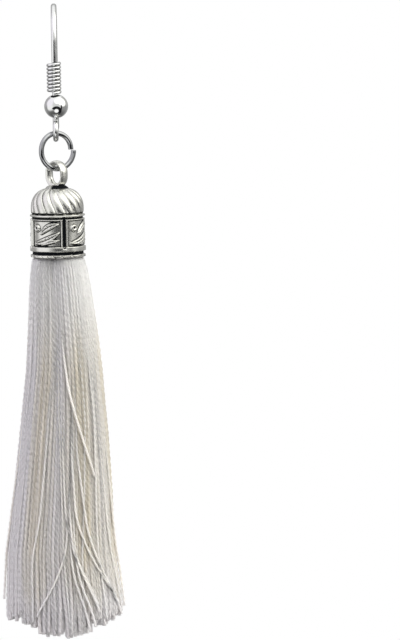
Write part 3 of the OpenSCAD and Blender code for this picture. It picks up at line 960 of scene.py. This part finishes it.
def laid_threads(s, template, starts, rng):
    """Places of the points of a straight thread's copies, each laid down its own path.
    starts holds a row for each thread: its angle, and its radius as a share"""
    straight = points_of(template)
    t = -straight[:, 2]
    angle, rho = starts[:, 0:1], starts[:, 1:2]
    phase = rng.uniform(0, FULL_TURN, rho.shape)
    drift = rng.normal(0, 0.3, rho.shape)
    wave = [rng.normal(0, size, rho.shape) for size in SIDE_WAVES]
    when = [rng.uniform(0, FULL_TURN, rho.shape) for _ in range(4)]
    # Threads draw together in small clumps at the hem, each clump cut a little differently
    clump = np.round(angle / FULL_TURN * CLUMPS)
    clump_angle = clump / CLUMPS * FULL_TURN
    clump_cut = rng.normal(0, CLUMP_CUT, CLUMPS)[clump.astype(int) % CLUMPS]
    # The hem is cut in a curve, longest in the middle
    tip_x = rho * np.cos(angle)
    cut = s.hem_drop * (step_up(0.1, 0.9, np.abs(tip_x)) + 0.12 * np.square(rho)) + 0.0001
    reach = s.thread_l - cut + clump_cut + rng.normal(0, THREAD_CUT, rho.shape)
    depth = -NECK + t * (reach + NECK)
    down = np.clip(depth / s.thread_l, 0, 1)
    radius, lean = bundle_shape(s, depth)
    free = 0.3 + 0.7 * step_up(0.0, 0.25, down)
    turned = angle + (clump_angle - angle) * GATHER * step_up(0.88, 1.0, down)
    side = sum(
        w * np.sin(FULL_TURN * (n + 0.6) * down + a) for n, (w, a) in enumerate(zip(wave, when))
    ) * free
    away = OUT_WAVE * np.sin(FULL_TURN * 1.3 * down + when[2]) * free
    # At the right under the cap, every second thread lies over its neighbours
    over = step_up(0.0, 0.04, down) * step_up(0.4, 0.2, down)
    over = over * step_up(0.2, 0.7, np.cos(angle - FRONT - 0.9))
    over = over * (np.arange(len(starts))[:, None] % 2 == 0)
    thick = THIN + FULLER * step_up(0.0, 0.25, down) + OVER_FULLER * over
    hub = np.maximum(radius - SUNK * thick, 0.0001) * rho * parted(angle, down) + away
    hub = hub + OVER_OUT * over
    across, deep = rolled(straight, phase + drift * down * FULL_TURN, thick)
    x = lean + hub * np.cos(turned) - side * np.sin(turned) + across
    y = DROP_Y + hub * np.sin(turned) + side * np.cos(turned) + deep
    z = np.broadcast_to(low("tassel_cap").z - depth, x.shape)
    return np.stack((x, y, z), axis=2)


def loose_threads(s, template, rng):
    """Thin loose threads, each laid along its own line over the front"""
    straight = points_of(template)
    t = -straight[:, 2]
    laid = []
    for stand, *line in LOOSE:
        depths, places = zip(*line)
        depth = -NECK + t * (depths[-1] * s.thread_l + NECK)
        down = np.clip(depth / s.thread_l, 0, 1)
        radius, lean = bundle_shape(s, depth)
        place = smooth_line(down, depths, places, width=24)
        out = radius * parted(FRONT + np.arcsin(np.clip(place, -1, 1)), down) - SUNK
        out = out + stand * step_up(depths[0] - 0.1, depths[1], down)
        thick = 0.5 + 0.2 * step_up(0.0, 0.22, down)
        across, deep = rolled(straight, rng.uniform(0, FULL_TURN), thick)
        x = lean + out * place + across
        y = DROP_Y - out * np.sqrt(np.maximum(1 - place**2, 0)) + deep
        laid.append(np.stack((x, y, low("tassel_cap").z - depth), axis=1))
    return np.array(laid)


def threads_piece(name, template, points, hue, material):
    """Piece of many threads, copies of one straight thread, from the places of all their
    points and a hue for each"""
    straight = points_of(template)
    far = np.hypot(straight[:, 0], straight[:, 1])
    # 1 between the plies and 0 on them, where the thread is darkened as painted shade; a round
    # thread has none
    crevice = (far.max() - far) / max(np.ptp(far), 1e-5)
    one = bpy.data.meshes.new(name + "_one")
    template.to_mesh(one)
    bm = bmesh.new()
    for _ in points:
        bm.from_mesh(one)
    mesh = mesh_from(name, bm)
    bpy.data.meshes.remove(one)
    mesh.vertices.foreach_set("co", points.astype(np.float32).ravel())
    depth = low("tassel_cap").z - points[:, :, 2].ravel()
    # A thread shows its own hue down its middle, is plain under the cap and cooler at the hem
    down = depth / depth.max()
    own = step_up(0.0, 0.3, down) * (1 - 0.75 * step_up(0.7, 0.95, down))
    shade = 0.5 + (np.repeat(hue, len(straight)) - 0.5) * own - 0.45 * step_up(0.76, 0.97, down)
    # Painted highlight: threads are white near the cap, some of them a little less
    less = np.mod(37 * hue, 1)
    sheen_share = np.clip(1.1 - 0.32 * less, 0, 1)
    painted_sheen = step_up(PAINTED_SHEEN_L, 0, depth) * np.repeat(sheen_share, len(straight))
    for attribute, values in (
        ("shade", shade), ("painted_sheen", painted_sheen), ("crevice", np.tile(crevice, len(points))),
    ):
        layer = mesh.attributes.new(attribute, "FLOAT", "POINT")
        layer.data.foreach_set("value", values.astype(np.float32))
    mesh.polygons.foreach_set("use_smooth", np.ones(len(mesh.polygons), bool))
    mesh.update()
    return dressed(name, mesh, "drop", ["tassel"], material)


def hank_hue(angles, rng):
    """Hue of threads by where they hang: 0 cool at the left, as a painted cool tint, and 1 warm in
    two hanks in front, with a painted warm tint at the right
    """
    by_hank = np.cos(HANKS * (angles - FRONT + HANKS_TURN) + math.pi)
    # The terms in cos(angles) are painted light: a warm tint at the right and a cool tint at the
    # left, where the warm and cool lights fall
    warm = 0.55 + 0.4 * by_hank + 0.1 * np.cos(angles)
    cool = 0.5 * step_up(-0.55, -0.9, np.cos(angles))
    return np.clip(warm - cool + rng.normal(0, 0.06, len(angles)), 0, 1)


def ring_of_starts(rng, total, rho_from, rho_to):
    """Starting angles evenly round, a little shaken, at radii between two shares"""
    shake = 0.12
    angles = FULL_TURN * (np.arange(total) + rng.uniform(-shake, shake, total)) / total
    return np.stack((angles, rng.uniform(rho_from, rho_to, total)), axis=1)


class EARRING_OT_tassel(bpy.types.Operator):
    """Makes the tassel's twisted threads, from its shell to its middle"""

    bl_idname = "earring.tassel"
    bl_label = "Tassel"

    def execute(self, context):
        s, f = context.scene.tassel_sizes, context.scene.earring_finishes
        thread = spun_thread("twisted_thread", f, gain=1.0, groove=0.05, roughness=0.42)
        # Lighter colour as painted light, brightening the gaps in the shell where shade falls
        inner = spun_thread("inner_thread_painted_light", f, gain=1.42, groove=0.0, roughness=0.5)
        # Lighter colour as painted light, as on threads that catch the light
        loose = spun_thread("loose_thread_painted_light", f, gain=1.45, groove=0.3, roughness=0.3)
        rng = np.random.default_rng(s.seed)
        full = s.thread_l + NECK
        fine = strand(s, sides=8, steps_a_turn=7, full_l=full)
        coarse = strand(s, sides=6, steps_a_turn=5, full_l=full)
        plain = plain_strand(s)
        # Name, thread, number of threads, radii as shares, pieces and material
        layers = (
            ("threads_shell", fine, s.shell, 0.985, 1.0, 3, thread),
            ("threads_under", coarse, s.under, 0.962, 0.978, 1, inner),
            ("threads_inner", plain, 90, 0.6, 0.9, 1, inner),
            ("threads_fill", plain, 120, 0.9, 0.95, 1, inner),
            ("threads_middle", plain, 60, 0.05, 0.6, 1, inner),
        )
        for name, template, total, rho_from, rho_to, parts, material in layers:
            starts = ring_of_starts(rng, total, rho_from, rho_to)
            points = laid_threads(s, template, starts, rng)
            for i in range(parts):
                label = f"{name}_{i + 1}" if parts > 1 else name
                hue = hank_hue(starts[i::parts, 0], rng)
                threads_piece(label, template, points[i::parts], hue, material)
        points = loose_threads(s, fine, rng)
        threads_piece("threads_loose", fine, points, rng.uniform(0.4, 0.7, len(points)), loose)
        for template in (fine, coarse, plain):
            template.free()
        return {"FINISHED"}


# Stage

PICTURE_W, PICTURE_H = 400, 640
PIXELS_A_METRE = 8000
SENSOR = 36
VIEW_DISTANCE = 2.0
ELEVATION = math.radians(4.5)
ROLL = math.radians(1.1)
# The drop's middle line, in the picture, at half its height
AXIS_X = 59.5
AXIS_Z = -0.03867


def front_camera():
    """Camera square to the worn earring's front, and a little above it"""
    cam = bpy.data.objects.new("front_camera", bpy.data.cameras.new("front_camera"))
    bpy.context.scene.collection.objects.link(cam)
    cam.data.sensor_width = SENSOR
    cam.data.lens = SENSOR * VIEW_DISTANCE * PIXELS_A_METRE / PICTURE_H
    cam.data.clip_start, cam.data.clip_end = 0.01, 10
    ahead = Vector((0, math.cos(ELEVATION), -math.sin(ELEVATION)))
    above = Vector((0, math.sin(ELEVATION), math.cos(ELEVATION)))
    right = math.cos(ROLL) * Vector((1, 0, 0)) - math.sin(ROLL) * above
    above = right.cross(ahead)
    target = Vector((0, DROP_Y, AXIS_Z)) + right * (PICTURE_W / 2 - AXIS_X) / PIXELS_A_METRE
    cam.matrix_world = placed(target - ahead * VIEW_DISTANCE, right, -ahead)
    bpy.context.scene.camera = cam


# Soft lights of the studio: direction, inner and outer half angle in degrees, strength,
# strength as metal mirrors it, and colour
SOFT_LIGHTS = (
    ((0.0, -1.0, 0.05), 28, 70, 0.42, 0.7, (1.0, 1.0, 1.0)),
    ((-0.9, -0.45, -0.08), 20, 42, 0.32, 0.95, (1.0, 1.0, 1.0)),
    ((0.0, 1.0, 0.2), 30, 70, 0.5, 0.4, (1.0, 1.0, 1.0)),
    ((0.0, 0.2, 1.0), 30, 60, 1.1, 1.0, (1.0, 1.0, 1.0)),
    ((0.15, -0.7, 0.9), 14, 30, 1.3, 1.5, (1.0, 1.0, 0.98)),
    ((0.8, 0.5, 0.45), 16, 34, 1.0, 0.5, (1.0, 0.99, 0.96)),
    ((-0.8, 0.5, 0.4), 16, 34, 0.7, 0.45, (0.98, 0.95, 1.0)),
    ((0.82, -0.25, 0.68), 26, 46, 3.1, 1.7, (1.0, 0.99, 0.945)),
    ((-0.88, -0.25, 0.58), 22, 44, 2.0, 1.0, (0.965, 0.935, 1.0)),
    ((0.0, 0.0, -1.0), 20, 75, 0.26, 0.1, (1.0, 1.0, 1.0)),
)
# Grey of the room, and the same as metal mirrors it
ROOM, ROOM_MIRRORED = 0.17, 0.3
# Middle of a bright patch, low in front, that the ball mirrors with a dark arch over it
PATCH = (0.04, -0.73, -0.68)


def along(tree, way, direction):
    """How far one direction goes along another"""
    node = put(tree, "ShaderNodeVectorMath", {0: way, 1: direction}, operation="DOT_PRODUCT")
    return node.outputs["Value"]


def toward(tree, way, direction, outer, inner):
    """1 within an inner half angle of a direction, 0 beyond an outer one, in degrees"""
    limits = (math.cos(math.radians(a)) for a in (outer, inner))
    return ramped(tree, along(tree, way, Vector(direction).normalized()), *limits)


def soft_studio():
    """White to the camera; to the object, a grey room with soft lights round it"""
    world = bpy.data.worlds.new("soft_studio")
    world.use_nodes = True
    tree = world.node_tree
    tree.nodes.clear()
    way = put(tree, "ShaderNodeTexCoord").outputs["Generated"]
    ray = put(tree, "ShaderNodeLightPath").outputs
    mirrored = ray["Is Glossy Ray"]
    light = mixed(tree, mirrored, (*[ROOM] * 3, 1), (*[ROOM_MIRRORED] * 3, 1))
    for direction, inner, outer, strength, seen, tint in SOFT_LIGHTS:
        lit = mixed(tree, mirrored, (*(strength * c for c in tint), 1),
                    (*(seen * c for c in tint), 1))
        light = mixed(tree, toward(tree, way, direction, outer, inner), light, lit)
    # The arch is a ring round the patch, open at its foot
    arch = calc(tree, "MULTIPLY", toward(tree, way, PATCH, 49, 44),
                calc(tree, "SUBTRACT", 1.0, toward(tree, way, PATCH, 23, 19)))
    opened = ramped(tree, along(tree, way, (0.5, 0, 0.87)), -0.66, -0.58)
    arch = calc(tree, "MULTIPLY", arch, opened)
    # Dark gap between the front light and the one at the right
    gap = calc(tree, "ABSOLUTE", along(tree, way, (0.6, 0.8, 0)))
    gap = calc(tree, "MULTIPLY", ramped(tree, gap, 0.17, 0.08),
               toward(tree, way, (0.8, -0.6, -0.25), 33, 20))
    dark = calc(tree, "MULTIPLY", calc(tree, "MAXIMUM", arch, gap), mirrored)
    light = mixed(tree, dark, light, (0.012, 0.012, 0.014, 1))
    light = mixed(tree, toward(tree, way, PATCH, 20, 16), light, (1.1, 1.1, 1.1, 1))
    room = put(tree, "ShaderNodeBackground", {"Color": light, "Strength": 1.0})
    paper = put(tree, "ShaderNodeBackground", {"Color": (1, 1, 1, 1), "Strength": 1.0})
    both = put(tree, "ShaderNodeMixShader",
               {0: ray["Is Camera Ray"], 1: room.outputs[0], 2: paper.outputs[0]})
    put(tree, "ShaderNodeOutputWorld", {"Surface": both.outputs[0]})
    bpy.context.scene.world = world


def pale_floor():
    """Wide pale floor under the hanging earring"""
    bm = bmesh.new()
    drop = 0.045
    bmesh.ops.create_circle(
        bm, cap_ends=True, segments=96, radius=0.6,
        matrix=Matrix.Translation((0, 0, CAD_BOX[0].z - drop)),
    )
    mesh = mesh_from("pale_floor", bm)
    material, tree = new_material("pale_floor")
    place = put(tree, "ShaderNodeTexCoord").outputs["Object"]
    tone = mixed(tree, noise(tree, place, 40.0), (0.4, 0.4, 0.4, 1), (0.36, 0.36, 0.36, 1))
    # White to the camera, pale grey as it throws light back, and not mirrored by the metal
    skin = put(tree, "ShaderNodeBsdfPrincipled", {"Base Color": tone, "Roughness": 0.8})
    glare = put(tree, "ShaderNodeEmission", {"Color": (1, 1, 1, 1), "Strength": 1.0})
    seen = put(tree, "ShaderNodeLightPath").outputs["Is Camera Ray"]
    both = put(tree, "ShaderNodeMixShader", {0: seen, 1: skin.outputs[0], 2: glare.outputs[0]})
    put(tree, "ShaderNodeOutputMaterial", {"Surface": both.outputs[0]})
    mesh.materials.append(material)
    floor = bpy.data.objects.new("pale_floor", mesh)
    bpy.context.scene.collection.objects.link(floor)
    floor.visible_glossy = False


class EARRING_OT_stage(bpy.types.Operator):
    """Sets the camera, the soft studio and the pale floor"""

    bl_idname = "earring.stage"
    bl_label = "Stage"

    def execute(self, context):
        front_camera()
        soft_studio()
        pale_floor()
        context.scene.view_settings.view_transform = "Standard"
        return {"FINISHED"}


class EARRING_PT_panel(bpy.types.Panel):
    """Lists the earring's pieces and the stage"""

    bl_idname = "EARRING_PT_panel"
    bl_label = "Tassel earring"
    bl_space_type = "VIEW_3D"
    bl_region_type = "UI"
    bl_category = "Earring"

    def draw(self, context):
        for owner, operator in (
            ("ear_wire_sizes", "earring.ear_wire"), ("ring_sizes", "earring.jump_ring"),
            ("cap_sizes", "earring.cap"), ("tassel_sizes", "earring.tassel"),
            ("earring_finishes", "earring.stage"),
        ):
            box = self.layout.box()
            settings = getattr(context.scene, owner)
            for name in settings.bl_rna.properties.keys():
                if name not in {"rna_type", "name"}:
                    box.prop(settings, name)
            box.operator(operator)


SETTINGS = (
    ("ear_wire_sizes", EarWireSizes), ("ring_sizes", RingSizes), ("cap_sizes", CapSizes),
    ("tassel_sizes", TasselSizes), ("earring_finishes", Finishes),
)
OPERATORS = (
    EARRING_OT_stage, EARRING_OT_ear_wire, EARRING_OT_jump_ring, EARRING_OT_cap,
    EARRING_OT_tassel,
)


def register():
    for name, kind in SETTINGS:
        bpy.utils.register_class(kind)
        setattr(bpy.types.Scene, name, PointerProperty(type=kind))
    for kind in (*OPERATORS, EARRING_PT_panel):
        bpy.utils.register_class(kind)


def unregister():
    for kind in reversed((*OPERATORS, EARRING_PT_panel)):
        bpy.utils.unregister_class(kind)
    for name, kind in reversed(SETTINGS):
        delattr(bpy.types.Scene, name)
        bpy.utils.unregister_class(kind)


def main():
    register()
    bpy.ops.earring.stage()
    bpy.ops.earring.ear_wire()
    bpy.ops.earring.jump_ring()
    bpy.ops.earring.cap()
    bpy.ops.earring.tassel()


if __name__ == "__main__":
    main()
